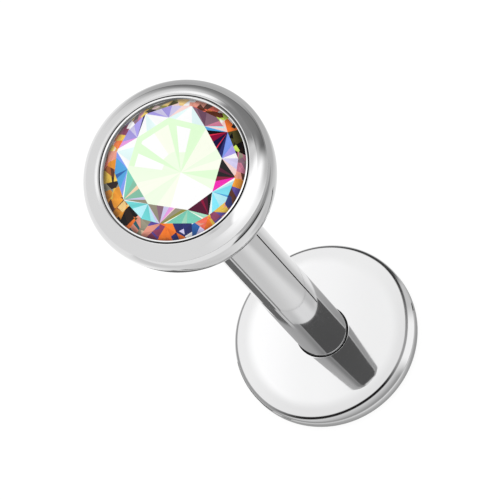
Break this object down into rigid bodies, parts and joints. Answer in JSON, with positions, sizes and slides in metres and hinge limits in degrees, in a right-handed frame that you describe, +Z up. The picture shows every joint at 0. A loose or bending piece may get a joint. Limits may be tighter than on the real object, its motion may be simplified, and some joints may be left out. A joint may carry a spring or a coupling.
{
  "type": "labret stud",
  "caption": "Straight labret stud: flat round disc with a soldered post, and a screw-on ball with a flush bezel-set round brilliant crystal.",
  "frame": {"origin": "centre of the disc's underside, where the stud rests", "axes": "+Z up the post from the disc to the ball; the stud is round about Z, and +X points at a corner of the crystal's table"},
  "size_m": [0.0044, 0.0044, 0.0127],
  "materials": {
    "polished_steel": "mirror-polished surgical steel, unplated",
    "coated_crystal": "faceted crystal with a thin rainbow coating"
  },
  "bodies": {
    "base": {"labret_base": "polished_steel"},
    "screw": {"threaded_pin": "polished_steel"},
    "ball": {"ball_bezel": "polished_steel", "crystal": "coated_crystal"}
  },
  "joints": [
    {"name": "ball_lift", "type": "slide", "parent": "base", "child": "screw", "axis": [0, 0, 1], "range_m": [0, 0.00135]},
    {"name": "ball_turn", "type": "hinge", "parent": "screw", "child": "ball", "pos_m": [0, 0, 0.01218], "axis": [0, 0, 1], "range_deg": [0, 2160]}
  ],
  "couplings": [
    {"joint": "ball_turn", "follows": "ball_lift", "rad_per_m": 27925}
  ]
}
